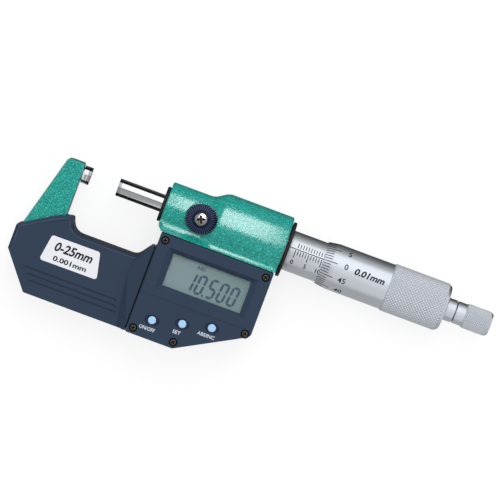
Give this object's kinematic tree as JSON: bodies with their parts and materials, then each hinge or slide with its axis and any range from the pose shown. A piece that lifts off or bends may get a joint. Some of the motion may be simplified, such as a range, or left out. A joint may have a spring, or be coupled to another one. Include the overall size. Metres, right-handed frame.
{
  "type": "digital outside micrometer",
  "caption": "Digital outside micrometer for 25 mm of travel: green C frame with insulating cover, display housing, spindle lock, graduated sleeve, knurled thimble and ratchet.",
  "frame": {"origin": "centre of the anvil's measuring face", "axes": "+X along the spindle towards the ratchet, +Y up the face of the display, +Z out of the display, away from the surface that it lies on"},
  "size_m": [0.1723, 0.0587, 0.0233],
  "materials": {
    "green_paint": "hammertone enamel",
    "navy_plastic": "fine matt moulding",
    "dark_plastic": "matt moulding",
    "button_plastic": "smooth",
    "polished_steel": "ground and lapped",
    "satin_steel": "satin chrome",
    "carbide": "lapped carbide",
    "brass": "turned",
    "black_rubber": "moulded",
    "dark_screw": "burnished",
    "label_white": "printed plate",
    "window": "clear",
    "display": "liquid crystal panel",
    "board": "circuit board",
    "spring_steel": "plain"
  },
  "bodies": {
    "frame": {"frame": "green_paint", "anvil": "satin_steel", "anvil_tip": "carbide", "spindle_bush": "satin_steel", "front_seal_ring": "black_rubber", "rear_ring": "black_rubber", "encoder_stator": "board", "rotor_bearing": "brass", "sleeve": "satin_steel", "inner_nut_tube": "satin_steel", "adjusting_nut": "brass", "insulator_front": "navy_plastic", "insulator_rear": "navy_plastic", "label_plate": "label_white", "cover_screw_1": "dark_screw", "cover_screw_2": "dark_screw", "housing_front": "navy_plastic", "housing_rear": "navy_plastic", "housing_gasket": "black_rubber", "window_lens": "window", "display_glass": "display", "display_holder": "dark_plastic", "contact_strip_upper": "black_rubber", "contact_strip_lower": "black_rubber", "circuit_board": "board", "switch_on_off": "satin_steel", "switch_set": "satin_steel", "switch_abs": "satin_steel", "bezel_on_off": "dark_plastic", "bezel_set": "dark_plastic", "bezel_abs": "dark_plastic", "housing_screw_1": "dark_screw", "housing_screw_2": "dark_screw", "housing_screw_3": "dark_screw", "housing_screw_4": "dark_screw", "housing_screw_5": "dark_screw", "battery": "polished_steel", "battery_contact": "spring_steel"},
    "encoder_rotor": {"encoder_rotor": "brass", "rotor_key": "spring_steel"},
    "spindle": {"spindle": "polished_steel", "spindle_tip": "carbide", "thimble": "satin_steel", "ratchet_base": "satin_steel", "ratchet_screw": "satin_steel"},
    "ratchet_knob": {"ratchet_knob": "satin_steel", "click_disc": "spring_steel", "ratchet_spring": "spring_steel"},
    "lock_knob": {"lock_knob": "navy_plastic", "lock_screw": "polished_steel", "clamp_bolt": "satin_steel", "clamp_pad": "brass"},
    "button_on_off": {"button_on_off": "button_plastic"},
    "button_set": {"button_set": "button_plastic"},
    "button_abs": {"button_abs": "button_plastic"},
    "battery_cap": {"battery_cap": "navy_plastic"}
  },
  "joints": [
    {"name": "thimble_turn", "type": "hinge", "parent": "frame", "child": "encoder_rotor", "pos_m": [0.0601, 0, 0], "axis": [1, 0, 0], "range_deg": [-7575, 10455]},
    {"name": "spindle_feed", "type": "slide", "parent": "encoder_rotor", "child": "spindle", "axis": [1, 0, 0], "range_m": [-0.0105, 0.0145]},
    {"name": "ratchet_turn", "type": "hinge", "parent": "spindle", "child": "ratchet_knob", "pos_m": [0.1462, 0, 0], "axis": [1, 0, 0], "continuous": true},
    {"name": "lock_turn", "type": "hinge", "parent": "frame", "child": "lock_knob", "pos_m": [0.0425, 0, 0.0076], "axis": [0, 0, 1], "range_deg": [-70, 0]},
    {"name": "press_on_off", "type": "slide", "parent": "frame", "child": "button_on_off", "axis": [0, 0, 1], "range_m": [-0.0006, 0], "stiffness_N_per_m": 1200},
    {"name": "press_set", "type": "slide", "parent": "frame", "child": "button_set", "axis": [0, 0, 1], "range_m": [-0.0006, 0], "stiffness_N_per_m": 1200},
    {"name": "press_abs", "type": "slide", "parent": "frame", "child": "button_abs", "axis": [0, 0, 1], "range_m": [-0.0006, 0], "stiffness_N_per_m": 1200},
    {"name": "battery_cap_turn", "type": "hinge", "parent": "frame", "child": "battery_cap", "pos_m": [0.0505, -0.0265, -0.0111], "axis": [0, 0, 1], "range_deg": [0, 90]}
  ],
  "couplings": [
    {"joint": "thimble_turn", "follows": "spindle_feed", "rad_per_m": 12566}
  ]
}
